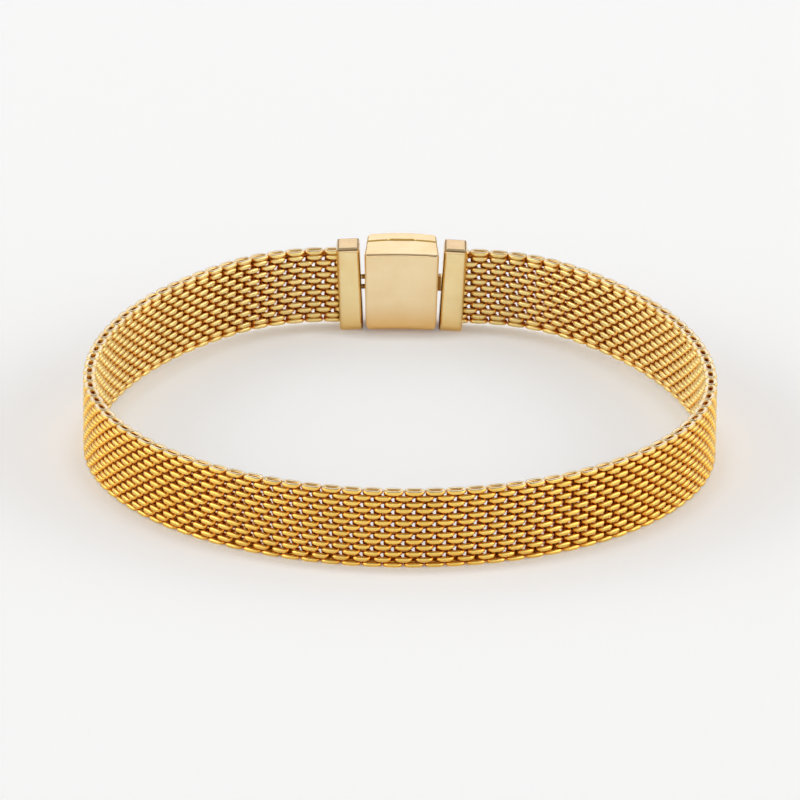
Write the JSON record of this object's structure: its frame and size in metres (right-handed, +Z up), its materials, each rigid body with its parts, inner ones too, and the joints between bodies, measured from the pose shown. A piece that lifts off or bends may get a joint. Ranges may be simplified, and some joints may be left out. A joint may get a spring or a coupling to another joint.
{
  "type": "woven mesh bracelet",
  "caption": "Closed loop of flat woven gold-tone wire mesh, joined by a small hinged box clasp between two end blocks.",
  "frame": {"origin": "on the floor, under the middle of the bracelet's bounding box", "axes": "+Z up, through the hollow of the ring; +Y from the middle of the ring out through the clasp; +X along the clasp towards the crossbar's block"},
  "size_m": [0.0616, 0.0699, 0.0089],
  "materials": {
    "mesh_wire": "bright gold-tone wire",
    "block_metal": "polished gold tone",
    "clasp_metal": "polished gold tone",
    "pin_metal": "plain gold tone"
  },
  "bodies": {
    "bracelet": {"mesh_band": "mesh_wire", "end_block_left": "block_metal", "end_block_right": "block_metal", "clasp_base": "clasp_metal", "hinge_pin": "pin_metal"},
    "lid": {"clasp_lid": "clasp_metal"}
  },
  "joints": [
    {"name": "lid_hinge", "type": "hinge", "parent": "bracelet", "child": "lid", "pos_m": [0, 0.03428, 0.00107], "axis": [-1, 0, 0], "range_deg": [0, 90]}
  ]
}
